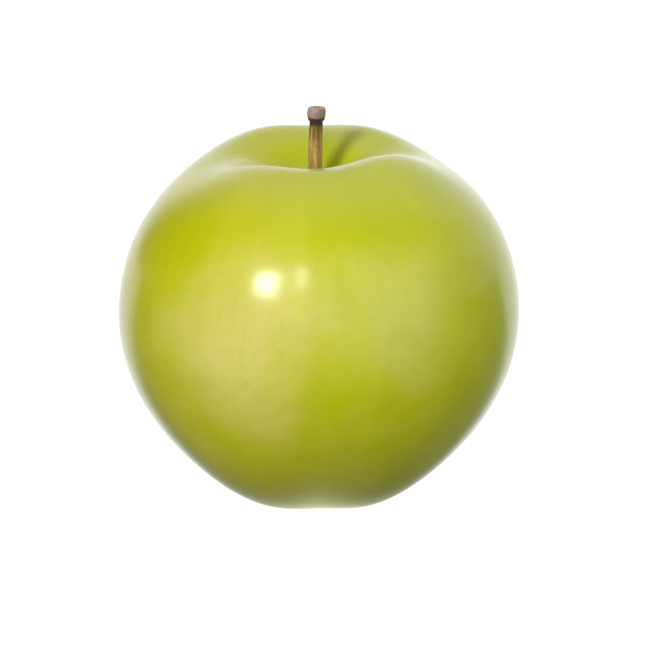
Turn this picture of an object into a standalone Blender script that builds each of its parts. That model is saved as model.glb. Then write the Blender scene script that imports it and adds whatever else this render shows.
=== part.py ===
"""A fresh green apple standing on its calyx end, with its stem, its dried sepals and its stamens.

The skin is a meridian of cubic curves, spun about Z and then pressed into five low lobes, with a crest
that isn't quite level. The woody stem stands in a socket at the bottom of the stem cavity. Five sepals
and a tuft of stamens sit in the calyx basin underneath. Where the five lobes meet the table, the skin
is pressed to small flat spots. Metres, +Z up, with the origin on the table under the middle.
"""

import math

import bmesh
import bpy
from mathutils import Matrix, Vector
from mathutils.geometry import interpolate_bezier

# Fruit meridian: the places that it passes through, from the stem cavity to the calyx
CAVITY_FLOOR_Z = 0.055
CREST_RADIUS = 0.0173
CREST_Z = 0.0692
CHEEK_RADIUS = 0.0393  # the widest place
CHEEK_Z = 0.036
FOOT_RADIUS = 0.0125  # the ring that the apple stands on
BASIN_DEPTH = 0.0085

# Fruit meridian: how far the handles reach, which sets how full each stretch is
CAVITY_WALL_RISE = 0.005
CREST_INNER_REACH = 0.0085
CREST_OUTER_REACH = 0.28  # share of the way from the crest out to the cheek
SHOULDER_FULLNESS = 0.68  # share of the way from the cheek up to the crest
LOWER_FULLNESS = 0.55  # share of the way from the cheek down to the foot
FOOT_OUTER_REACH = 0.28  # share of the way from the foot out to the cheek
FOOT_INNER_REACH = 0.005

# Fruit lobes and unevenness
LOBES = 5
LOBE_ANGLE = math.radians(308)
LOBE_SHARE_CHEEK = 0.004  # of the radius
LOBE_SHARE_FOOT = 0.036
LOBE_CREST_RISE = -0.0001
FOOT_VALLEY_RISE = 0.0004  # how far the skin lifts off the table between two lobes
CREST_TILT = (0.0004, 0.0002)  # rise of the crest towards +X and towards +Y
CREST_SADDLE = (-0.00117, -0.00064)  # rise along the X axis, and along the diagonal beside it
CREST_THREEFOLD = -0.00026  # rise at three places round the crest, the first at +30 degrees
CREST_FOURFOLD = (-0.0007, -0.00025)  # rise at four places, the first at 0 and at +22.5 degrees
CREST_LEAN = 0.00045  # how far the top leans towards +X
CAVITY_OFFSET = 0.0038  # how far the stem cavity lies towards -X
UNEVEN_FROM_Z = 0.030  # the crest's unevenness fades out down to here
UNEVEN_OVER_Z = 0.040
FOOT_LOBES_TO_Z = 0.030
FOOT_PRESS = 0.00015  # how much of each lobe is pressed flat

# Stem socket and calyx tube, the two small holes that the dry parts stand in
FIT_GAP = 0.0003
STEM_FOOT_RADIUS = 0.0017
STEM_SOCKET_DEPTH = 0.0025
CALYX_TUBE_RADIUS = 0.0024
CALYX_TUBE_DEPTH = 0.004

# Stem
STEM_TOP_Z = 0.0776
STEM_TOP_X = -0.0002
STEM_RADIUS = 0.00142
STEM_NECK_RADIUS = 0.00126
STEM_KNOB_RADIUS = 0.0018
STEM_KNOB_HEIGHT = 0.0027
STEM_SIDES = 14
STEM_RINGS = 22

# Sepals
SEPALS = 5
SEPAL_RING_RADIUS = 0.0037
SEPAL_WIDTH = 0.0031
SEPAL_THICKNESS = 0.0005
SEPAL_ROOT_DROP = 0.0012  # below the tube's edge, because the basin floor slopes down outwards
SEPAL_LENGTH = 0.0040  # downwards from its root
SEPAL_RINGS = 7
SEPAL_SIDES = 8

# Stamens
BUTTON_RADIUS = 0.0015
BUTTON_FLATNESS = 0.4
FILAMENT_LENGTH = 0.0052
FILAMENT_STEPS = 3
FILAMENT_INSET = 0.0001
FILAMENT_TAPER = 0.82

# Resolution of the fruit
TURNS = 60
STEPS_CAVITY = 10
STEPS_SHOULDER = 10
STEPS_LOWER = 11
STEPS_BASIN = 7


def material(name, colour, roughness):
    made = bpy.data.materials.new(name)
    made.use_nodes = True
    surface = made.node_tree.nodes["Principled BSDF"]
    surface.inputs["Base Color"].default_value = (*colour, 1.0)
    surface.inputs["Roughness"].default_value = roughness
    surface.inputs["Metallic"].default_value = 0.0
    return made


def add_object(name, bm, surface):
    """A closed, smooth-shaded object made from a bmesh."""
    bmesh.ops.recalc_face_normals(bm, faces=bm.faces)
    mesh = bpy.data.meshes.new(name)
    bm.to_mesh(mesh)
    bm.free()
    mesh.shade_smooth()
    mesh.set_sharp_from_angle(angle=math.radians(50))
    mesh.materials.append(surface)
    made = bpy.data.objects.new(name, mesh)
    bpy.context.collection.objects.link(made)
    return made


def loft(name, rings, surface):
    """A closed solid through a list of rings, each a list of as many points, with flat ends."""
    bm = bmesh.new()
    loops = [[bm.verts.new(point) for point in ring] for ring in rings]
    for lower, upper in zip(loops, loops[1:]):
        for i in range(len(lower)):
            j = (i + 1) % len(lower)
            bm.faces.new((lower[i], lower[j], upper[j], upper[i]))
    bm.faces.new(loops[0])
    bm.faces.new(loops[-1])
    return add_object(name, bm, surface)


# Fruit


def meridian():
    """Points (radius, 0, height) of the skin, from the stem socket over the cheek to the calyx tube."""
    socket_radius = STEM_FOOT_RADIUS + FIT_GAP
    socket_z = CAVITY_FLOOR_Z - STEM_SOCKET_DEPTH
    tube_top_z = BASIN_DEPTH + CALYX_TUBE_DEPTH
    width = CHEEK_RADIUS - CREST_RADIUS
    lower_width = CHEEK_RADIUS - FOOT_RADIUS

    cavity_edge = Vector((socket_radius, 0, CAVITY_FLOOR_Z))
    crest = Vector((CREST_RADIUS, 0, CREST_Z))
    cheek = Vector((CHEEK_RADIUS, 0, CHEEK_Z))
    foot = Vector((FOOT_RADIUS, 0, -FOOT_PRESS))
    tube_edge = Vector((CALYX_TUBE_RADIUS, 0, BASIN_DEPTH))

    cavity_handle = cavity_edge + Vector((CAVITY_WALL_RISE * 0.3, 0, CAVITY_WALL_RISE))
    crest_inner = crest - Vector((CREST_INNER_REACH, 0, 0))
    crest_outer = crest + Vector((CREST_OUTER_REACH * width, 0, 0))
    cheek_upper = cheek + Vector((0, 0, SHOULDER_FULLNESS * (CREST_Z - CHEEK_Z)))
    cheek_lower = cheek - Vector((0, 0, LOWER_FULLNESS * CHEEK_Z))
    foot_outer = foot + Vector((FOOT_OUTER_REACH * lower_width, 0, 0))
    foot_inner = foot - Vector((FOOT_INNER_REACH, 0, 0))
    tube_handle = tube_edge + Vector((FOOT_INNER_REACH * 0.5, 0, 0))

    stretches = (
        (cavity_edge, cavity_handle, crest_inner, crest, STEPS_CAVITY),
        (crest, crest_outer, cheek_upper, cheek, STEPS_SHOULDER),
        (cheek, cheek_lower, foot_outer, foot, STEPS_LOWER),
        (foot, foot_inner, tube_handle, tube_edge, STEPS_BASIN),
    )
    points = [Vector((0, 0, socket_z)), Vector((socket_radius, 0, socket_z))]
    for start, start_handle, end_handle, end, steps in stretches:
        points += interpolate_bezier(start, start_handle, end_handle, end, steps + 1)[:-1]
    points += [tube_edge, Vector((CALYX_TUBE_RADIUS * 0.9, 0, tube_top_z)), Vector((0, 0, tube_top_z))]
    return points


def share(value, start, length):
    """0 before start, rising to 1 over length, squared so that it begins softly."""
    return max(0.0, min(1.0, (value - start) / length)) ** 2


def grown(point):
    """Where a point of the spun meridian lies on the real, lobed and uneven apple."""
    radius = math.hypot(point.x, point.y)
    angle = math.atan2(point.y, point.x)
    lobe = math.cos(LOBES * (angle - LOBE_ANGLE))
    crest_share = share(point.z, UNEVEN_FROM_Z, UNEVEN_OVER_Z)
    foot_share = share(-point.z, -FOOT_LOBES_TO_Z, FOOT_LOBES_TO_Z)
    out_share = min(1.0, radius / CHEEK_RADIUS)
    cavity_share = crest_share * max(0.0, 1 - radius / CREST_RADIUS)
    basin_share = min(1.0, radius / FOOT_RADIUS)

    swell = 1 + (LOBE_SHARE_CHEEK + LOBE_SHARE_FOOT * foot_share) * lobe * out_share
    crest_rise = CREST_TILT[0] * math.cos(angle) + CREST_TILT[1] * math.sin(angle)
    crest_rise += CREST_SADDLE[0] * math.cos(2 * angle) + CREST_SADDLE[1] * math.sin(2 * angle)
    crest_rise += CREST_THREEFOLD * math.sin(3 * angle)
    crest_rise += CREST_FOURFOLD[0] * math.cos(4 * angle) + CREST_FOURFOLD[1] * math.sin(4 * angle)
    crest_rise += LOBE_CREST_RISE * lobe
    foot_rise = FOOT_VALLEY_RISE * (1 - lobe) / 2
    return Vector(
        (
            point.x * swell + CREST_LEAN * point.z / CREST_Z - CAVITY_OFFSET * cavity_share,
            point.y * swell,
            point.z
            + crest_rise * crest_share * min(1.0, radius / CREST_RADIUS)
            + foot_rise * foot_share * basin_share,
        )
    )


def fruit(surface):
    bm = bmesh.new()
    profile = [bm.verts.new(point) for point in meridian()]
    edges = [bm.edges.new(pair) for pair in zip(profile, profile[1:])]
    bmesh.ops.spin(
        bm,
        geom=profile + edges,
        axis=(0, 0, 1),
        cent=(0, 0, 0),
        angle=math.tau,
        steps=TURNS,
        use_merge=True,
    )
    bmesh.ops.remove_doubles(bm, verts=bm.verts, dist=1e-6)
    for vert in bm.verts:
        vert.co = grown(vert.co)

    # the table presses each lobe to a flat spot
    cut = bmesh.ops.bisect_plane(
        bm,
        geom=bm.verts[:] + bm.edges[:] + bm.faces[:],
        dist=1e-6,
        plane_co=(0, 0, 0),
        plane_no=(0, 0, -1),
        clear_outer=True,
    )
    rims = [item for item in cut["geom_cut"] if isinstance(item, bmesh.types.BMEdge)]
    bmesh.ops.edgeloop_fill(bm, edges=rims)
    return add_object("fruit", bm, surface)


# Stem


def stem_radius(along, height):
    """Radius at a share of the stem's length, with the height in metres above its foot."""
    knob_from = 1 - STEM_KNOB_HEIGHT / height
    if along < knob_from:
        narrowing = (STEM_RADIUS - STEM_NECK_RADIUS) * (along / knob_from) ** 3
        flare = (STEM_FOOT_RADIUS - STEM_RADIUS) * max(0.0, 1 - along / 0.18)
        return STEM_RADIUS - narrowing + flare
    through = (along - knob_from) / (1 - knob_from)
    swell = math.sin(math.pi * (0.03 + through * 0.85)) ** 0.4
    return STEM_NECK_RADIUS + (STEM_KNOB_RADIUS - STEM_NECK_RADIUS) * swell


def stem(surface):
    socket = grown(Vector((0, 0, CAVITY_FLOOR_Z - STEM_SOCKET_DEPTH)))
    foot = socket + Vector((0, 0, FIT_GAP))
    top = Vector((STEM_TOP_X, 0, STEM_TOP_Z))
    height = top.z - foot.z
    straight_up = foot + Vector((0, 0, height * 0.35))
    leaning = top - (top - foot) * 0.3
    spine = interpolate_bezier(foot, straight_up, leaning, top, STEM_RINGS)
    rings = []
    for i, centre in enumerate(spine):
        radius = stem_radius(i / (STEM_RINGS - 1), height)
        ring = []
        for k in range(STEM_SIDES):
            angle = math.tau * k / STEM_SIDES
            ring.append(centre + Vector((radius * math.cos(angle), radius * math.sin(angle), 0)))
        rings.append(ring)
    return loft("stem", rings, surface)


# Calyx: sepals and stamens


def sepal(name, angle, surface):
    """One dried sepal, hanging from the basin floor, drawn in and then curled out at its tip."""
    root_z = BASIN_DEPTH - SEPAL_ROOT_DROP
    rings = []
    for i in range(SEPAL_RINGS):
        along = i / (SEPAL_RINGS - 1)
        inward = 0.0011 * math.sin(math.pi * min(1.0, along * 1.25))
        outward = 0.0014 * max(0.0, along - 0.6) / 0.4
        centre = Vector((SEPAL_RING_RADIUS - inward + outward, 0, root_z - SEPAL_LENGTH * along))
        half_width = SEPAL_WIDTH / 2 * (1 - along) ** 0.7 + 0.00015
        half_thickness = SEPAL_THICKNESS / 2 * (1 - 0.5 * along)
        ring = []
        for k in range(SEPAL_SIDES):
            turn = math.tau * k / SEPAL_SIDES
            across = half_width * math.cos(turn)
            cupped = across * across / SEPAL_WIDTH
            ring.append(centre + Vector((half_thickness * math.sin(turn) - cupped, across, 0)))
        rings.append(ring)
    made = loft(name, rings, surface)
    middle = grown(Vector((0, 0, BASIN_DEPTH)))
    made.matrix_world = Matrix.Translation((middle.x, middle.y, 0)) @ Matrix.Rotation(angle, 4, "Z")
    return made


def stamens(surface):
    """The tuft in the calyx tube: one dry button with a filament drawn out of each of its lower faces."""
    bm = bmesh.new()
    bmesh.ops.create_icosphere(bm, subdivisions=2, radius=BUTTON_RADIUS)
    bmesh.ops.scale(bm, vec=(1, 1, BUTTON_FLATNESS), verts=bm.verts)
    bm.normal_update()
    reach = BUTTON_RADIUS * 0.7
    lower = [
        face
        for face in bm.faces
        if face.normal.z < -0.8 and face.calc_center_median().xy.length < reach
    ]
    bmesh.ops.inset_individual(bm, faces=lower, thickness=FILAMENT_INSET)
    tips = lower
    for step in range(FILAMENT_STEPS):
        tips = bmesh.ops.extrude_discrete_faces(bm, faces=tips)["faces"]
        for face in tips:
            centre = face.calc_center_median()
            uneven = 1 + 0.12 * math.sin(7 * math.atan2(centre.y, centre.x))
            drop = FILAMENT_LENGTH / FILAMENT_STEPS * uneven
            spread = Vector((centre.x, centre.y, 0)) * (0.16 if step == 0 else 0.06)
            bmesh.ops.scale(
                bm,
                vec=(FILAMENT_TAPER,) * 3,
                space=Matrix.Translation(-centre),
                verts=face.verts,
            )
            bmesh.ops.translate(bm, vec=spread - Vector((0, 0, drop)), verts=face.verts)
    made = add_object("dried_stamens", bm, surface)
    middle = grown(Vector((0, 0, BASIN_DEPTH)))
    button_z = BASIN_DEPTH + CALYX_TUBE_DEPTH - FIT_GAP - BUTTON_RADIUS * BUTTON_FLATNESS
    made.location = (middle.x, middle.y, button_z)
    return made


for old in list(bpy.data.objects):
    bpy.data.objects.remove(old)

skin = material("apple_skin", (0.43, 0.47, 0.05), 0.35)
wood = material("dry_stem", (0.25, 0.15, 0.04), 0.7)
leaf = material("dry_calyx", (0.16, 0.12, 0.06), 0.85)

fruit(skin)
stem(wood)
for number in range(SEPALS):
    sepal(f"sepal_{number + 1}", LOBE_ANGLE + math.tau * (number + 0.5) / SEPALS, leaf)
stamens(leaf)
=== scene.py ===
"""A fresh green apple with its stem and its dried calyx, on a pale floor in soft studio light."""

import math

import bmesh
import bpy
import numpy as np
from mathutils import Matrix, Vector, noise
from mathutils.geometry import interpolate_bezier


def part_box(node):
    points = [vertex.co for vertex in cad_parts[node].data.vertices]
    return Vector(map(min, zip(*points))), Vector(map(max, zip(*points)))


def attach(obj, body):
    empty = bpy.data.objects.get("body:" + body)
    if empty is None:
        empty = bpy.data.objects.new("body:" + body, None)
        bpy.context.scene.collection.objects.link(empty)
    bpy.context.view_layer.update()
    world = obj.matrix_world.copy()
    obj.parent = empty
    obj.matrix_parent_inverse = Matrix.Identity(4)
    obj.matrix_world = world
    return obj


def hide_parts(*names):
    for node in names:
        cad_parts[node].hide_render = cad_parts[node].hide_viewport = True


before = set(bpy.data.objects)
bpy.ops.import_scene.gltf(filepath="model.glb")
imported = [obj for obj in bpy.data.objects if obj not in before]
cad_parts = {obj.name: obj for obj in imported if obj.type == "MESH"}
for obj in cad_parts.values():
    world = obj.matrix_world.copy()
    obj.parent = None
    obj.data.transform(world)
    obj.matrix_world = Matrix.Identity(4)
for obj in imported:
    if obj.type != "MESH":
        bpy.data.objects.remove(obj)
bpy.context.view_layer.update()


# ----------------------------------------------------------------------------------------------
# Fruit. One fleshy body in a thin waxy skin, grown in one piece. The skin runs down into the stem
# cavity, where it closes round the stem's foot, and up into the calyx basin underneath, where it
# opens into the small tube that held the flower.

fruit_low, fruit_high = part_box("fruit")
CHEEK_RADIUS = (fruit_high.x - fruit_low.x) / 2  # the widest place
MM = CHEEK_RADIUS / 39.3  # a millimetre of the apple at its own size
CHEEK_Z = 36 * MM
CREST_RADIUS = 17.3 * MM
CREST_Z = 69.2 * MM
CAVITY_FLOOR_RADIUS = 2.0 * MM
CAVITY_FLOOR_Z = 55 * MM
FOOT_RADIUS = 12.5 * MM  # the ring that the apple stands on
TUBE_RADIUS = 2.4 * MM  # the calyx tube, at the bottom of the basin
TUBE_TOP_Z = 12.5 * MM
BASIN_Z = 8.5 * MM
FLAT_PRESS = 0.15 * MM  # how much of each lobe the table presses flat

CAVITY_WALL_HANDLE = Vector((1.5 * MM, 0, 5 * MM))
CREST_INNER_REACH = 8.5 * MM
CREST_OUTER_REACH = 0.28 * (CHEEK_RADIUS - CREST_RADIUS)
SHOULDER_REACH = 0.68 * (CREST_Z - CHEEK_Z)
LOWER_REACH = 0.55 * CHEEK_Z
FOOT_OUTER_REACH = 0.28 * (CHEEK_RADIUS - FOOT_RADIUS)
FOOT_INNER_REACH = 5 * MM

LOBES = 5
LOBE_ANGLE = math.radians(308)
LOBE_SHARE_CHEEK = 0.004  # of the radius
LOBE_SHARE_FOOT = 0.036
LOBE_CREST_RISE = -0.1
FOOT_VALLEY_RISE = 0.4 * MM  # how far the skin lifts off the table between two lobes
FOOT_LOBES_TO_Z = 30 * MM  # the foot's lobes fade out up to here
UNEVEN_FROM_Z = 30 * MM  # the crest's unevenness begins here
UNEVEN_OVER_Z = 40 * MM
# how far the crest rises, in MM: to +X and +Y, then at two, three and four places round it
CREST_TILT = (0.4, 0.2)
CREST_SADDLE = (-1.17, -0.64)
CREST_THREEFOLD = -0.26
CREST_FOURFOLD = (-0.7, -0.25)
CREST_LEAN = 0.45 * MM
CAVITY_OFFSET = 3.8 * MM

AROUND = 320  # columns of the skin's mesh
ROWS_CAVITY = 64
ROWS_SHOULDER = 62
ROWS_LOWER = 62
ROWS_BASIN = 40

WARM_GREEN = (0.49, 0.475, 0.0)
COOL_GREEN = (0.43, 0.475, 0.0)
TAN_AND_LIGHT_POOL = (0.66, 0.57, 0.17)
DEEP_GREEN = (0.38, 0.43, 0.0)
CAVITY_GREEN = (0.40, 0.475, 0.02)
CLOUD_PALE = (0.55, 0.56, 0.14)
HAZE_PALE = (0.55, 0.56, 0.05)
STREAK_PALE = (0.55, 0.55, 0.01)
LENTICEL = (0.62, 0.60, 0.12)
# painted sheen: the pale grey tint on the crest that stands for the reflection along the rim
CREST_PAINTED_SHEEN = (0.40, 0.42, 0.24)
RUSSET = (0.34, 0.20, 0.05)
DRY_TUBE = (0.10, 0.06, 0.02)

# the sun-tanned spot, painted paler as well: a painted broad highlight where the key light falls most
# fully
TAN_AND_LIGHT_POOL_SPOT = Vector((-0.37, -0.85, 0)) * CHEEK_RADIUS + Vector((0, 0, 38 * MM))
TAN_AND_LIGHT_POOL_REACH = 24 * MM
CLOUD_SPOT = Vector((0.38, -0.88, 0)) * CHEEK_RADIUS + Vector((0, 0, 45 * MM))
CLOUD_SPOT_REACH = 18 * MM
CLOUD_SIZE = 20 * MM
HAZE_SIZE = 13 * MM
STREAK_SIZE = 4.5 * MM
MOTTLE_SIZE = 1.8 * MM
RUSSET_SIZE = 3 * MM
PORE_SPACING = 4.2 * MM
WAVE_SIZE = 3.6 * MM  # of the fine unevenness that breaks up the highlights
GRAIN_SIZE = 0.9 * MM


def skin_profile():
    """Radius, height, cavity share and basin share of each row, from the stem's foot to the tube."""
    cavity_edge = Vector((CAVITY_FLOOR_RADIUS, 0, CAVITY_FLOOR_Z))
    crest = Vector((CREST_RADIUS, 0, CREST_Z))
    cheek = Vector((CHEEK_RADIUS, 0, CHEEK_Z))
    foot = Vector((FOOT_RADIUS, 0, -FLAT_PRESS))
    tube_edge = Vector((TUBE_RADIUS, 0, BASIN_Z))
    sideways = Vector((1, 0, 0))
    upright = Vector((0, 0, 1))
    stretches = (
        (cavity_edge, cavity_edge + CAVITY_WALL_HANDLE, crest - sideways * CREST_INNER_REACH, crest,
         ROWS_CAVITY),
        (crest, crest + sideways * CREST_OUTER_REACH, cheek + upright * SHOULDER_REACH, cheek,
         ROWS_SHOULDER),
        (cheek, cheek - upright * LOWER_REACH, foot + sideways * FOOT_OUTER_REACH, foot,
         ROWS_LOWER),
        (foot, foot - sideways * FOOT_INNER_REACH, tube_edge + sideways * FOOT_INNER_REACH / 2,
         tube_edge, ROWS_BASIN),
    )
    # the skin turns down beside the stem and ends under its foot
    rows = [(1.1 * MM, CAVITY_FLOOR_Z - 1.0 * MM, 1, 0), (1.5 * MM, CAVITY_FLOOR_Z - 0.5 * MM, 1, 0)]
    for number, (start, start_handle, end_handle, end, count) in enumerate(stretches):
        for point in interpolate_bezier(start, start_handle, end_handle, end, count + 1)[:-1]:
            in_cavity = (CREST_Z - point.z) / (CREST_Z - CAVITY_FLOOR_Z) if number == 0 else 0
            in_basin = point.z / BASIN_Z if number == 3 else 0
            rows.append((point.x, point.z, in_cavity, max(0, in_basin)))
    tube = ((TUBE_RADIUS, BASIN_Z), (0.96 * TUBE_RADIUS, BASIN_Z + 0.6 * MM),
            (0.9 * TUBE_RADIUS, TUBE_TOP_Z - 0.3 * MM), (0.7 * TUBE_RADIUS, TUBE_TOP_Z))
    rows += [(radius, height, 0, 1) for radius, height in tube]
    return np.array(rows).T


def soft_share(value, start, length):
    """0 before start, rising to 1 over length, squared so that it begins softly."""
    return np.clip((value - start) / length, 0, 1) ** 2


def grown(radius, height, angle):
    """Where a point of the round profile lies on the real, five-lobed and uneven apple."""
    lobe = np.cos(LOBES * (angle - LOBE_ANGLE))
    top = soft_share(height, UNEVEN_FROM_Z, UNEVEN_OVER_Z)
    bottom = soft_share(-height, -FOOT_LOBES_TO_Z, FOOT_LOBES_TO_Z)
    out = np.minimum(1, radius / CHEEK_RADIUS)
    inside_crest = np.clip(1 - radius / CREST_RADIUS, 0, 1)
    swell = 1 + (LOBE_SHARE_CHEEK + LOBE_SHARE_FOOT * bottom) * lobe * out
    uneven = CREST_THREEFOLD * np.sin(3 * angle) + LOBE_CREST_RISE * lobe
    for turns, (along_x, along_y) in ((1, CREST_TILT), (2, CREST_SADDLE), (4, CREST_FOURFOLD)):
        uneven += along_x * np.cos(turns * angle) + along_y * np.sin(turns * angle)
    crest_rise = uneven * MM * top * np.minimum(1, radius / CREST_RADIUS)
    foot_rise = FOOT_VALLEY_RISE * (1 - lobe) / 2 * bottom * np.minimum(1, radius / FOOT_RADIUS)
    lean = CREST_LEAN * height / CREST_Z - CAVITY_OFFSET * top * inside_crest
    return (
        radius * swell * np.cos(angle) + lean,
        radius * swell * np.sin(angle),
        height + crest_rise + foot_rise,
    )


def relief(x, y, z, radius, angle, in_cavity, in_basin):
    """How far the skin stands out of the smooth shape: shallow dents, and puckers at both ends."""
    dents = np.array([
        0.09 * noise.noise(Vector(p) / (15 * MM)) + 0.03 * noise.noise(Vector(p) / (6 * MM))
        for p in zip(x.ravel(), y.ravel(), z.ravel())
    ]).reshape(x.shape)
    near_stem = np.exp(-((radius / (4.2 * MM)) ** 2)) * (in_cavity > 0)
    stem_folds = 0.16 * near_stem * np.cos(9 * angle + 1.4 * np.sin(2 * angle))
    near_calyx = np.exp(-((radius / (6.5 * MM)) ** 2)) * (in_basin > 0)
    pleats = np.cos(LOBES * (angle - LOBE_ANGLE)) + 0.5 * np.cos(2 * LOBES * angle + 0.7)
    calyx_folds = 0.28 * near_calyx * pleats * np.clip((radius / MM - 2.4) / 1.5, 0, 1)
    return (dents + stem_folds + calyx_folds) * MM


def skin_mesh(name):
    """The profile turned about Z, grown and dented, closed at both ends, with its two shares."""
    radius, height, in_cavity, in_basin = (row[:, None] for row in skin_profile())
    angle = np.linspace(0, math.tau, AROUND, endpoint=False)[None, :]
    x, y, z = grown(radius, height, angle)
    x, y, z, radius, in_cavity, in_basin, angle = np.broadcast_arrays(
        x, y, z, radius, in_cavity, in_basin, angle)
    # outward direction, from the neighbours along and around
    points = np.stack([x, y, z], axis=-1)
    around = np.roll(points, -1, axis=1) - np.roll(points, 1, axis=1)
    along = np.gradient(points, axis=0)
    outward = np.cross(around, along)
    outward *= -1 / np.maximum(np.linalg.norm(outward, axis=-1, keepdims=True), 1e-12)
    points = points + outward * relief(x, y, z, radius, angle, in_cavity, in_basin)[..., None]
    points[..., 2] = np.maximum(points[..., 2], 0)

    rows = points.shape[0]
    verts = [tuple(p) for p in points.reshape(-1, 3)]
    faces = []
    for i in range(rows - 1):
        for j in range(AROUND):
            k = (j + 1) % AROUND
            faces.append((i * AROUND + j, (i + 1) * AROUND + j, (i + 1) * AROUND + k, i * AROUND + k))
    for row, turn in ((0, 1), (rows - 1, -1)):
        centre = len(verts)
        verts.append(tuple(points[row].mean(axis=0)))
        for j in range(AROUND):
            pair = (row * AROUND + j, row * AROUND + (j + 1) % AROUND)
            faces.append((centre, *pair[::turn]))
    mesh = bpy.data.meshes.new(name)
    mesh.from_pydata(verts, [], faces)
    for label, values, ends in (("cavity", in_cavity, (1, 0)), ("basin", in_basin, (0, 1))):
        layer = mesh.attributes.new(label, "FLOAT", "POINT")
        layer.data.foreach_set("value", np.append(values.ravel(), ends).astype(np.float32))
    mesh.shade_smooth()
    return mesh


def fill(tree, socket, value):
    """Links a node's output to a socket, or sets a plain value on it."""
    if isinstance(value, bpy.types.NodeSocket):
        tree.links.new(value, socket)
    elif isinstance(value, tuple) and socket.type == "RGBA":
        socket.default_value = (*value, 1)
    else:
        socket.default_value = value


def add_node(tree, kind, inputs, output=0, **settings):
    """Adds a node with its settings and inputs, and returns one of its outputs."""
    made = tree.nodes.new(kind)
    for name, value in settings.items():
        setattr(made, name, value)
    for name, value in inputs.items():
        fill(tree, made.inputs[name], value)
    return made.outputs[output]


def blend(tree, share, first, second):
    """Colour between first and second."""
    return add_node(tree, "ShaderNodeMix", {0: share, 6: first, 7: second}, output=2, data_type="RGBA")


def compute(tree, operation, first, second=0.0):
    """One step of arithmetic on two values."""
    return add_node(tree, "ShaderNodeMath", {0: first, 1: second}, operation=operation)


def between(tree, value, low, high, to_low=0.0, to_high=1.0):
    """to_low up to low, to_high beyond high, and a soft change in between."""
    inputs = {"Value": value, "From Min": low, "From Max": high, "To Min": to_low, "To Max": to_high}
    return add_node(tree, "ShaderNodeMapRange", inputs, interpolation_type="SMOOTHSTEP")


def patches(tree, where, size, detail=2.0, rough=0.5, warp=0.0):
    """Soft noise from 0 to 1, with patches of about this size in metres."""
    inputs = {"Vector": where, "Scale": 1 / size, "Detail": detail, "Roughness": rough, "Distortion": warp}
    return add_node(tree, "ShaderNodeTexNoise", inputs)


def raised(tree, height, distance, below=None):
    """A bump of this height in metres, on top of the one below."""
    inputs = {"Height": height, "Distance": distance, "Strength": 1.0}
    if below is not None:
        inputs["Normal"] = below
    return add_node(tree, "ShaderNodeBump", inputs)


def new_material(name, **shader_values):
    """A material and its node tree, with constants set on the shader's own sockets."""
    made = bpy.data.materials.new(name)
    made.use_nodes = True
    shader = made.node_tree.nodes["Principled BSDF"]
    for socket, value in shader_values.items():
        fill(made.node_tree, shader.inputs[socket.replace("_", " ").title().replace("Ior", "IOR")], value)
    return made, made.node_tree, shader


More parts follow.
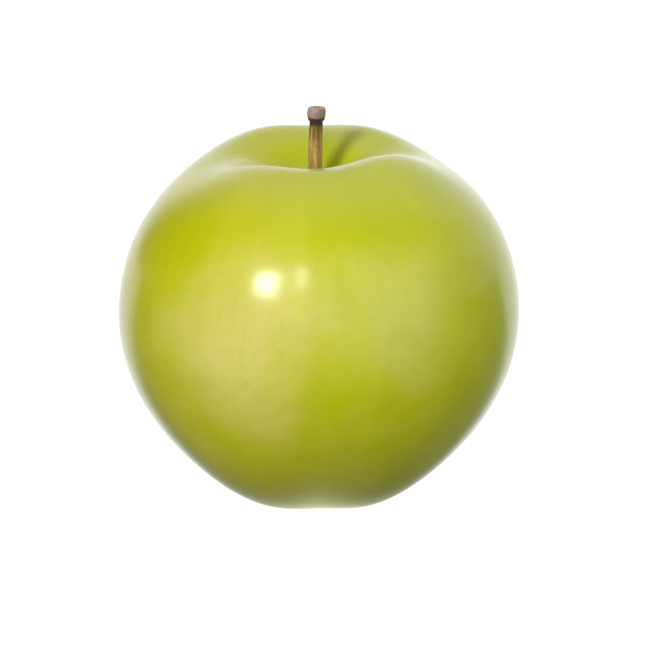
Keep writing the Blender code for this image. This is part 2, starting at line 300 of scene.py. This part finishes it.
def skin_material():
    """Green skin in a clear wax: patches, streaks and pores, and russet at both ends."""
    made, tree, shader = new_material(
        "waxy_apple_skin", subsurface_weight=0.10, subsurface_scale=1.5 * MM,
        subsurface_radius=(1.0, 0.9, 0.25), specular_ior_level=0.05,
        coat_weight=1.0, coat_roughness=0.2, coat_ior=1.34, sheen_weight=0.12,
        sheen_roughness=0.3)
    where = add_node(tree, "ShaderNodeTexCoord", {}, output=3)
    cavity = add_node(tree, "ShaderNodeAttribute", {}, output=2, attribute_name="cavity")
    basin = add_node(tree, "ShaderNodeAttribute", {}, output=2, attribute_name="basin")
    x, y, z = add_node(tree, "ShaderNodeSeparateXYZ", {0: where}).node.outputs

    # meridian streaks: a direction round the core, stretched along the height
    level = add_node(tree, "ShaderNodeCombineXYZ", {"X": x, "Y": y})
    direction = add_node(tree, "ShaderNodeVectorMath", {0: level}, operation="NORMALIZE")
    direction = add_node(tree, "ShaderNodeVectorMath", {0: direction, "Scale": CHEEK_RADIUS},
                         operation="SCALE")
    slow_z = add_node(tree, "ShaderNodeCombineXYZ", {"Z": compute(tree, "MULTIPLY", z, 0.16)})
    streaky = add_node(tree, "ShaderNodeVectorMath", {0: direction, 1: slow_z}, operation="ADD")

    # warmer on the side that hung in the sun, cooler and greener on the other
    cloudy = patches(tree, where, CLOUD_SIZE, detail=3, rough=0.55)
    cloud_shift = compute(tree, "MULTIPLY", compute(tree, "SUBTRACT", cloudy, 0.5), 70 * MM)
    shade_x = compute(tree, "ADD", x, cloud_shift)
    colour = blend(tree, between(tree, shade_x, -36 * MM, 36 * MM), WARM_GREEN, COOL_GREEN)

    # the spot that faced the sun is a little tan, and it is painted paler as a broad highlight where the
    # key light falls most fully, with a ragged edge
    from_tan_and_light_pool = add_node(tree, "ShaderNodeVectorMath", {0: where, 1: TAN_AND_LIGHT_POOL_SPOT}, output=1,
                        operation="DISTANCE")
    from_tan_and_light_pool = compute(tree, "ADD", from_tan_and_light_pool, compute(tree, "MULTIPLY", cloud_shift, 0.35))
    colour = blend(tree, between(tree, from_tan_and_light_pool, TAN_AND_LIGHT_POOL_REACH, 4 * MM, 0, 0.82), colour, TAN_AND_LIGHT_POOL)

    # cloudy patches where the green is paler, the palest of them right of the front
    from_cloud = add_node(tree, "ShaderNodeVectorMath", {0: where, 1: CLOUD_SPOT}, output=1,
                          operation="DISTANCE")
    from_cloud = compute(tree, "ADD", from_cloud, compute(tree, "MULTIPLY", cloud_shift, 0.3))
    colour = blend(tree, between(tree, from_cloud, CLOUD_SPOT_REACH, 2 * MM, 0, 0.6), colour, CLOUD_PALE)
    haze = patches(tree, where, HAZE_SIZE, detail=3, warp=0.4)
    colour = blend(tree, between(tree, haze, 0.42, 0.72, 0, 0.34), colour, HAZE_PALE)
    colour = blend(tree, between(tree, haze, 0.5, 0.28, 0, 0.25), colour, DEEP_GREEN)

    streaks = patches(tree, streaky, STREAK_SIZE, detail=4, rough=0.6)
    colour = blend(tree, between(tree, streaks, 0.5, 0.8, 0, 0.22), colour, STREAK_PALE)
    colour = blend(tree, between(tree, streaks, 0.48, 0.2, 0, 0.18), colour, DEEP_GREEN)

    mottle = patches(tree, where, MOTTLE_SIZE, detail=4, rough=0.6)
    colour = blend(tree, between(tree, mottle, 0.5, 0.28, 0, 0.2), colour, DEEP_GREEN)

    # breathing pores: small pale dots, more of them towards the calyx
    cells = add_node(tree, "ShaderNodeTexVoronoi", {"Vector": where, "Scale": 1 / PORE_SPACING}).node
    pore_size = compute(tree, "MULTIPLY", between(tree, cells.outputs["Color"], 0.35, 1.0), 0.1)
    pore_size = compute(tree, "MULTIPLY", pore_size, between(tree, z, 66 * MM, 8 * MM, 0.6, 1.3))
    in_pore = between(tree, compute(tree, "SUBTRACT", cells.outputs["Distance"], pore_size), 0.02, -0.03)
    colour = blend(tree, compute(tree, "MULTIPLY", in_pore, 0.3), colour, LENTICEL)

    # painted sheen: the crest outside the cavity is painted paler and greyer, standing for the pale
    # reflection along the rim
    painted_crest_sheen = compute(tree, "MULTIPLY", between(tree, z, 58 * MM, 70 * MM, 0, 0.22),
                    between(tree, cavity, 0.25, 0.05))
    colour = blend(tree, painted_crest_sheen, colour, CREST_PAINTED_SHEEN)

    # both ends: greener skin, then russet where it meets the stem and the dry calyx
    colour = blend(tree, between(tree, cavity, 0.02, 0.5, 0, 0.8), colour, CAVITY_GREEN)
    ragged = compute(tree, "MULTIPLY", patches(tree, streaky, RUSSET_SIZE, detail=3), 0.35)
    colour = blend(tree, between(tree, compute(tree, "ADD", cavity, ragged), 0.98, 1.25, 0, 0.8),
                   colour, RUSSET)
    colour = blend(tree, between(tree, basin, 0.3, 0.9, 0, 0.6), colour, CAVITY_GREEN)
    colour = blend(tree, between(tree, compute(tree, "ADD", basin, ragged), 1.05, 1.25), colour, DRY_TUBE)
    fill(tree, shader.inputs["Base Color"], colour)

    rough = between(tree, mottle, 0.3, 0.7, 0.40, 0.48)
    rough = compute(tree, "ADD", rough, between(tree, cavity, 0.7, 1.0, 0, 0.2))
    fill(tree, shader.inputs["Roughness"], rough)

    bump = raised(tree, patches(tree, where, WAVE_SIZE, detail=3), 0.13 * MM)
    bump = raised(tree, patches(tree, where, GRAIN_SIZE), 0.006 * MM, bump)
    bump = raised(tree, in_pore, 0.004 * MM, bump)
    fill(tree, shader.inputs["Normal"], bump)
    return made


def add_piece(name, mesh, surface, replaced):
    """A piece of the apple in place of its CAD node."""
    made = bpy.data.objects.new(name, mesh)
    bpy.context.scene.collection.objects.link(made)
    mesh.materials.append(surface)
    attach(made, "root")
    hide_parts(replaced)


add_piece("apple_skin", skin_mesh("apple_skin"), skin_material(), "fruit")


# ----------------------------------------------------------------------------------------------
# Stem. A dry woody stalk, ribbed along its length, that grows out of the bottom of the cavity. It
# ends in the swollen, corky scar where it let go of the twig, with a dark line round its neck.

stem_low, stem_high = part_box("stem")
STEM_RADIUS = 1.42 * MM
NECK_RADIUS = 1.26 * MM
KNOB_RADIUS = 1.8 * MM
STEM_FOOT_RADIUS = 1.7 * MM
KNOB_HEIGHT = 2.7 * MM
STEM_RINGS = 150
STEM_SIDES = 56

BARK_TOP = (0.155, 0.088, 0.011)
BARK_MIDDLE = (0.42, 0.225, 0.06)
BARK_FOOT = (0.24, 0.17, 0.02)
BARK_GROOVE = (0.07, 0.035, 0.01)
BARK_PALE = (0.60, 0.47, 0.14)
KNOB_CORK = (0.36, 0.25, 0.20)
KNOB_DARK = (0.035, 0.014, 0.008)


def stem_radius(share, height):
    """Radius of the stalk at a share of its length."""
    knob_from = 1 - KNOB_HEIGHT / height
    if share < knob_from:
        narrowing = (STEM_RADIUS - NECK_RADIUS) * (share / knob_from) ** 3
        flare = (STEM_FOOT_RADIUS - STEM_RADIUS) * max(0, 1 - share / 0.18)
        return STEM_RADIUS - narrowing + flare
    through = (share - knob_from) / (1 - knob_from)
    return NECK_RADIUS + (KNOB_RADIUS - NECK_RADIUS) * math.sin(math.pi * (0.03 + through * 0.85)) ** 0.4


def add_tube(bm, rings):
    """Closes a list of rings, each of as many vertices, into a skin with a flat cap at both ends."""
    sides = len(rings[0])
    for lower, upper in zip(rings, rings[1:]):
        for i in range(sides):
            j = (i + 1) % sides
            bm.faces.new((lower[i], lower[j], upper[j], upper[i]))
    bm.faces.new(rings[0][::-1])
    bm.faces.new(rings[-1])


def finished(bm, name):
    """The smooth mesh of a bmesh, which is freed."""
    mesh = bpy.data.meshes.new(name)
    bm.to_mesh(mesh)
    bm.free()
    mesh.shade_smooth()
    return mesh


def stem_mesh(name):
    """A ribbed, pitted stalk along a gentle curve, with the share of its length on each vertex."""
    foot = Vector((stem_low.x + STEM_FOOT_RADIUS, 0, stem_low.z))
    top = Vector((stem_high.x - KNOB_RADIUS, 0, stem_high.z))
    height = top.z - foot.z
    spine = interpolate_bezier(foot, foot + Vector((0, 0, height * 0.35)), top - (top - foot) * 0.3, top,
                               STEM_RINGS)
    bm = bmesh.new()
    up = bm.verts.layers.float.new("up")
    rings = []
    for i, centre in enumerate(spine):
        share = i / (STEM_RINGS - 1)
        radius = stem_radius(share, height)
        on_knob = max(0, min(1, (share - 1 + KNOB_HEIGHT / height) * height / (0.8 * MM)))
        ring = []
        for k in range(STEM_SIDES):
            angle = math.tau * k / STEM_SIDES
            side = Vector((math.cos(angle), math.sin(angle), 0))
            ribs = 0.035 * math.cos(5 * angle + 1.6 * share) + 0.022 * math.cos(11 * angle - 2.5 * share)
            grain = noise.noise(Vector((side.x * 2.4, side.y * 2.4, centre.z / (5 * MM))))
            pits = noise.noise(Vector((side.x * 4, side.y * 4, centre.z / (0.9 * MM))))
            uneven = (ribs + 0.05 * grain) * (1 - 0.6 * on_knob) + pits * (0.012 + 0.05 * on_knob)
            vert = bm.verts.new(centre + side * radius * (1 + uneven))
            vert[up] = share
            ring.append(vert)
        rings.append(ring)
    # the scar on top: a rim that rolls over, then a shallow dish
    for inward, drop in ((0.86, -0.05), (0.66, 0.0), (0.42, 0.08), (0.2, 0.12)):
        ring = []
        for vert in rings[STEM_RINGS - 1]:
            offset = (vert.co - top) * inward
            lift = 0.12 * noise.noise(offset / (0.6 * MM)) - drop
            made = bm.verts.new(top + offset + Vector((0, 0, lift * MM)))
            made[up] = 1 + (1 - inward) * 0.1
            ring.append(made)
        rings.append(ring)
    add_tube(bm, rings)
    return finished(bm, name)


def stem_material():
    """Fibrous bark, olive above, brown in the middle, with a black neck under pale cork."""
    made, tree, shader = new_material("dry_stem_bark", sheen_weight=0.35, sheen_roughness=0.4,
                                      sheen_tint=(0.95, 0.85, 0.5))
    where = add_node(tree, "ShaderNodeTexCoord", {}, output=3)
    up = add_node(tree, "ShaderNodeAttribute", {}, output=2, attribute_name="up")
    stretched = add_node(tree, "ShaderNodeMapping", {"Vector": where, "Scale": (1, 1, 0.16)})
    fibres = patches(tree, stretched, 0.7 * MM, detail=4, rough=0.65)
    blots = patches(tree, where, 2.4 * MM, detail=3, rough=0.6)

    colour = blend(tree, between(tree, up, 0.4, 0.62), BARK_FOOT, BARK_MIDDLE)
    colour = blend(tree, between(tree, up, 0.66, 0.84), colour, BARK_TOP)
    colour = blend(tree, between(tree, fibres, 0.5, 0.7, 0, 0.7), colour, BARK_PALE)
    colour = blend(tree, between(tree, fibres, 0.48, 0.3, 0, 0.7), colour, BARK_GROOVE)
    colour = blend(tree, between(tree, blots, 0.6, 0.75, 0, 0.5), colour, BARK_GROOVE)
    ragged_up = compute(tree, "ADD", up, compute(tree, "MULTIPLY", blots, 0.03))
    colour = blend(tree, between(tree, ragged_up, 0.85, 0.875), colour, KNOB_DARK)
    cork = blend(tree, between(tree, blots, 0.4, 0.65), KNOB_CORK, KNOB_DARK)
    cork = blend(tree, 0.65, cork, KNOB_CORK)
    colour = blend(tree, between(tree, ragged_up, 0.925, 0.945), colour, cork)
    colour = blend(tree, between(tree, up, 1.04, 1.07, 0, 0.45), colour, KNOB_DARK)
    fill(tree, shader.inputs["Base Color"], colour)
    fill(tree, shader.inputs["Roughness"], between(tree, fibres, 0.3, 0.7, 0.75, 0.5))
    bump = raised(tree, fibres, 0.12 * MM)
    bump = raised(tree, patches(tree, where, 0.25 * MM, detail=3), 0.03 * MM, bump)
    fill(tree, shader.inputs["Normal"], bump)
    return made


add_piece("stalk", stem_mesh("stalk"), stem_material(), "stem")


# ----------------------------------------------------------------------------------------------
# Sepals. Five dried leaflets of the flower's cup. They stand in a ring round the calyx tube, drawn
# in over it and curled out again at the tip, brown and papery, with short pale down on them.

SEPAL_RINGS = 34
SEPAL_SIDES = 22
SEPAL_WIDTH = 3.1 * MM
SEPAL_THICKNESS = 0.42 * MM
SEPAL_RING_RADIUS = 3.7 * MM
SEPAL_ROOT_LENGTH = 0.9 * MM  # grown into the skin
SEPAL_HAIRS = 90
HAIR_RADIUS = 0.025 * MM
CALYX_SHIFT = 0.07 * MM  # because the fruit leans a little
SEPAL_BROWN = (0.17, 0.115, 0.05)
SEPAL_PALE = (0.34, 0.29, 0.17)
SEPAL_DARK = (0.05, 0.03, 0.015)


def sepal_mesh(name, angle, root_z, tip_z, number):
    """A cupped leaflet that hangs down from root_z to tip_z, curled and a little twisted."""
    bm = bmesh.new()
    turn = Matrix.Rotation(angle, 3, "Z")
    seed = Vector((number * 7.3, 1.7, 0.4))
    length = root_z - tip_z
    rings = []
    for i in range(SEPAL_RINGS):
        share = i / (SEPAL_RINGS - 1)
        inward = 1.1 * MM * math.sin(math.pi * min(1, share * 1.25))
        outward = 1.4 * MM * max(0, share - 0.6) / 0.4
        centre = Vector((SEPAL_RING_RADIUS - inward + outward, 0,
                         root_z + SEPAL_ROOT_LENGTH - (length + SEPAL_ROOT_LENGTH) * share))
        half_width = SEPAL_WIDTH / 2 * (1 - share) ** 0.7 + 0.06 * MM
        half_thickness = SEPAL_THICKNESS / 2 * (1 - 0.6 * share)
        twist = 0.25 * math.sin(3 * share + number) * share
        ring = []
        for k in range(SEPAL_SIDES):
            round_angle = math.tau * k / SEPAL_SIDES
            across = half_width * math.cos(round_angle)
            cupped = across * across / SEPAL_WIDTH
            crinkle = 0.22 * MM * noise.noise(seed + Vector((across / MM, share * 4, 0)))
            local = Vector((half_thickness * math.sin(round_angle) - cupped + crinkle * share, across, 0))
            local.rotate(Matrix.Rotation(twist, 3, "Z"))
            ring.append(bm.verts.new(turn @ (centre + local)))
        rings.append(ring)
    add_tube(bm, rings)
    bmesh.ops.recalc_face_normals(bm, faces=bm.faces)
    add_down(bm, [vert for ring in rings[3:-1] for vert in ring], SEPAL_HAIRS, number)
    bmesh.ops.translate(bm, vec=(CALYX_SHIFT, 0, 0), verts=bm.verts)
    return finished(bm, name)


def add_down(bm, roots, count, seed):
    """Short curved hairs, each a thin closed cone, that stand on some of these vertices."""
    picks = np.random.default_rng(seed)
    bm.normal_update()
    for index in picks.choice(len(roots), count, replace=False):
        root = roots[index].co.copy()
        out = (roots[index].normal + Vector(picks.normal(0, 0.35, 3)) - Vector((0, 0, 0.4))).normalized()
        length = picks.uniform(0.35, 0.8) * MM
        side = out.orthogonal().normalized() * HAIR_RADIUS
        base = [bm.verts.new(root - out * 0.03 * MM + Matrix.Rotation(math.tau * k / 3, 3, out) @ side)
                for k in range(3)]
        tip = bm.verts.new(root + out * length)
        for k in range(3):
            bm.faces.new((base[k], base[(k + 1) % 3], tip))
        bm.faces.new(base[::-1])


def sepal_material():
    """Papery brown, paler in blots, with darker veins and a little down."""
    made, tree, shader = new_material("dry_sepal", sheen_weight=0.5, sheen_roughness=0.5,
                                      sheen_tint=(0.9, 0.85, 0.7))
    where = add_node(tree, "ShaderNodeTexCoord", {}, output=3)
    veins = patches(tree, add_node(tree, "ShaderNodeMapping", {"Vector": where, "Scale": (1, 1, 0.25)}),
                    0.5 * MM, detail=4, rough=0.6)
    blots = patches(tree, where, 1.5 * MM, detail=3)
    colour = blend(tree, between(tree, blots, 0.4, 0.65), SEPAL_BROWN, SEPAL_PALE)
    colour = blend(tree, between(tree, veins, 0.5, 0.3, 0, 0.8), colour, SEPAL_DARK)
    fill(tree, shader.inputs["Base Color"], colour)
    fill(tree, shader.inputs["Roughness"], between(tree, blots, 0.3, 0.7, 0.9, 0.7))
    fill(tree, shader.inputs["Normal"], raised(tree, veins, 0.08 * MM))
    return made


sepal_surface = sepal_material()
for number in range(1, LOBES + 1):
    sepal_name = f"sepal_{number}"
    sepal_low, sepal_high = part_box(sepal_name)
    sepal_angle = LOBE_ANGLE + math.tau * (number - 0.5) / LOBES
    leaflet = sepal_mesh(f"leaflet_{number}", sepal_angle, sepal_high.z, sepal_low.z, number)
    add_piece(f"leaflet_{number}", leaflet, sepal_surface, sepal_name)


# ----------------------------------------------------------------------------------------------
# Stamens. What is left of the flower inside the calyx tube: a dry button with a tuft of thin brown
# filaments round five thicker styles. Each filament still carries its small anther.

tuft_low, tuft_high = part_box("dried_stamens")
BUTTON_RADIUS = 1.5 * MM
BUTTON_FLATNESS = 0.4
FILAMENT_RINGS = 12
FILAMENT_SIDES = 7
# how many, in MM the radius of their ring, a thread and its tip, and their length as a share
FILAMENTS = (20, 1.1, 0.10, 0.22, (0.75, 1.0))
STYLES = (5, 0.35, 0.17, 0.2, (0.8, 0.92))
FILAMENT_BROWN = (0.14, 0.08, 0.03)
FILAMENT_PALE = (0.30, 0.21, 0.10)


def add_thread(bm, spine, radii):
    """A closed thin tube along these points."""
    rings = []
    for centre, radius in zip(spine, radii):
        rings.append([
            bm.verts.new(centre + Vector((radius * math.cos(math.tau * k / FILAMENT_SIDES),
                                          radius * math.sin(math.tau * k / FILAMENT_SIDES), 0)))
            for k in range(FILAMENT_SIDES)
        ])
    add_tube(bm, rings)


def tuft_mesh(name):
    """A flattened button with its threads hanging from it, each bent its own way."""
    bm = bmesh.new()
    middle = Vector(((tuft_low.x + tuft_high.x) / 2, (tuft_low.y + tuft_high.y) / 2, tuft_high.z))
    middle.z -= BUTTON_RADIUS * BUTTON_FLATNESS
    bmesh.ops.create_uvsphere(bm, u_segments=24, v_segments=12, radius=BUTTON_RADIUS)
    bmesh.ops.scale(bm, vec=(1, 1, BUTTON_FLATNESS), verts=bm.verts)
    bmesh.ops.translate(bm, vec=middle, verts=bm.verts)
    picks = np.random.default_rng(5)
    drop = middle.z - tuft_low.z
    for count, ring_mm, thin_mm, tip_mm, lengths in (FILAMENTS, STYLES):
        for k in range(count):
            angle = math.tau * (k + picks.uniform(-0.3, 0.3)) / count
            side = Vector((math.cos(angle), math.sin(angle), 0))
            reach = drop * picks.uniform(*lengths)
            start = middle + side * ring_mm * picks.uniform(0.75, 1) * MM
            bend = Vector((*picks.normal(0, 0.25, 2), 0)) * MM
            end = start + side * picks.uniform(0.0, 0.35) * MM + bend - Vector((0, 0, reach))
            spine = interpolate_bezier(start, start - Vector((0, 0, reach * 0.4)),
                                       end + Vector((0, 0, reach * 0.3)) - bend, end, FILAMENT_RINGS)
            radii = [thin_mm * MM] * (FILAMENT_RINGS - 3)
            radii += [tip_mm * MM, tip_mm * MM, 0.4 * tip_mm * MM]
            add_thread(bm, spine, radii)
    bmesh.ops.recalc_face_normals(bm, faces=bm.faces)
    return finished(bm, name)


def tuft_material():
    """Dead plant fibre, brown with paler grain."""
    made, tree, shader = new_material("dry_stamen", sheen_weight=0.2, sheen_tint=(0.9, 0.8, 0.6))
    where = add_node(tree, "ShaderNodeTexCoord", {}, output=3)
    grain = patches(tree, where, 0.4 * MM, detail=3)
    fill(tree, shader.inputs["Base Color"],
         blend(tree, between(tree, grain, 0.4, 0.65), FILAMENT_BROWN, FILAMENT_PALE))
    fill(tree, shader.inputs["Roughness"], between(tree, grain, 0.3, 0.7, 0.9, 0.75))
    fill(tree, shader.inputs["Normal"], raised(tree, grain, 0.05 * MM))
    return made


add_piece("stamen_tuft", tuft_mesh("stamen_tuft"), tuft_material(), "dried_stamens")


# ----------------------------------------------------------------------------------------------
# Studio. A pale floor, a softbox and a strip light in front on the left, and a bright sweep behind
# that the skin mirrors along its edge.

centre = Vector((0, 0, CHEEK_Z))
PANEL_DISTANCE = 0.8
FLOOR_HALF = 4.0
FLOOR_GREY = (0.16, 0.16, 0.16)
GLOW_FRONT = -33 * MM  # the floor's glow rises from here to GLOW_BACK
GLOW_BACK = -10 * MM
GLOW_WEDGE = 0.85  # and it narrows to a wedge behind the apple, so that the sides stay dark
WHITE = (1, 1, 1)


def from_centre(azimuth, elevation, distance):
    """A place seen from the apple: azimuth 0 is towards the front, 90 towards its right."""
    turn, lift = math.radians(azimuth), math.radians(elevation)
    level = math.cos(lift)
    return centre + distance * Vector((math.sin(turn) * level, -math.cos(turn) * level, math.sin(lift)))


def add_panel(name, azimuth, elevation, size, power):
    """A flat studio light that faces the apple."""
    data = bpy.data.lights.new(name, "AREA")
    data.shape = "RECTANGLE"
    data.size, data.size_y = size
    data.energy = power
    made = bpy.data.objects.new(name, data)
    made.location = from_centre(azimuth, elevation, PANEL_DISTANCE)
    made.rotation_euler = (centre - made.location).to_track_quat("-Z", "Y").to_euler()
    made.visible_camera = False
    bpy.context.scene.collection.objects.link(made)


def add_floor():
    """A table that glows white, so that it shows no shadow, and that the skin mirrors behind."""
    mesh = bpy.data.meshes.new("floor")
    corners = [(x * FLOOR_HALF, y * FLOOR_HALF, 0) for x, y in ((-1, -1), (1, -1), (1, 1), (-1, 1))]
    mesh.from_pydata(corners, [], [(0, 1, 2, 3)])
    made, tree, shader = new_material("pale_floor", roughness=0.9, specular_ior_level=0.0)
    fill(tree, shader.inputs["Base Color"], FLOOR_GREY)
    where = add_node(tree, "ShaderNodeTexCoord", {}, output=3)
    x, y, z = add_node(tree, "ShaderNodeSeparateXYZ", {0: where}).node.outputs
    seen = add_node(tree, "ShaderNodeLightPath", {}, output=0)
    aside = compute(tree, "ABSOLUTE", x)
    behind = compute(tree, "SUBTRACT", y, compute(tree, "MULTIPLY", aside, GLOW_WEDGE))
    glow = between(tree, behind, GLOW_FRONT, GLOW_BACK, 0.1, 1.1)
    glow = add_node(tree, "ShaderNodeMix", {0: seen, 2: glow, 3: 1.0}, data_type="FLOAT")
    fill(tree, shader.inputs["Emission Color"], WHITE)
    fill(tree, shader.inputs["Emission Strength"], glow)
    mesh.materials.append(made)
    floor = bpy.data.objects.new("floor", mesh)
    bpy.context.scene.collection.objects.link(floor)


def add_world():
    """A white sweep from the front over the top to a brighter backdrop, between dark sides."""
    world = bpy.data.worlds.new("studio")
    world.use_nodes = True
    tree = world.node_tree
    towards = add_node(tree, "ShaderNodeTexCoord", {}, output=0)
    x, y, z = add_node(tree, "ShaderNodeSeparateXYZ", {0: towards}).node.outputs
    aside = compute(tree, "ABSOLUTE", compute(tree, "SUBTRACT", x, 0.27))
    glow = compute(tree, "MULTIPLY", between(tree, aside, 0.92, 0.58, 0.05, 1),
                   between(tree, y, -0.1, 0.6, 1.06, 1.25))
    glow = compute(tree, "MULTIPLY", glow, between(tree, z, 0.45, 0.9, 1, 0.36))
    seen = add_node(tree, "ShaderNodeLightPath", {}, output=0)
    strength = add_node(tree, "ShaderNodeMix", {0: seen, 2: glow, 3: 1.0}, data_type="FLOAT")
    fill(tree, tree.nodes["Background"].inputs["Strength"], strength)
    fill(tree, tree.nodes["Background"].inputs["Color"], WHITE)
    bpy.context.scene.world = world


def add_camera(elevation, distance, width_seen, aim):
    """A long lens that sees width_seen at the apple's middle."""
    data = bpy.data.cameras.new("camera")
    data.sensor_width = 36
    data.lens = data.sensor_width * distance / width_seen
    data.clip_start, data.clip_end = 0.05, 20
    made = bpy.data.objects.new("camera", data)
    made.location = from_centre(0, elevation, distance)
    made.rotation_euler = (centre - made.location).to_track_quat("-Z", "Y").to_euler()
    right = Vector((1, 0, 0))
    up = Vector((0, math.sin(math.radians(elevation)), math.cos(math.radians(elevation))))
    made.location += right * aim[0] + up * aim[1]
    bpy.context.scene.collection.objects.link(made)
    bpy.context.scene.camera = made


add_floor()
add_world()
add_panel("key_softbox", azimuth=-31, elevation=28, size=(0.15, 0.14), power=4.0)
add_panel("strip", azimuth=-11, elevation=33, size=(0.05, 0.16), power=0.75)
add_camera(elevation=15.5, distance=0.9, width_seen=127.7 * MM, aim=(1.4 * MM, -2.1 * MM))
bpy.context.scene.view_settings.view_transform = "Standard"
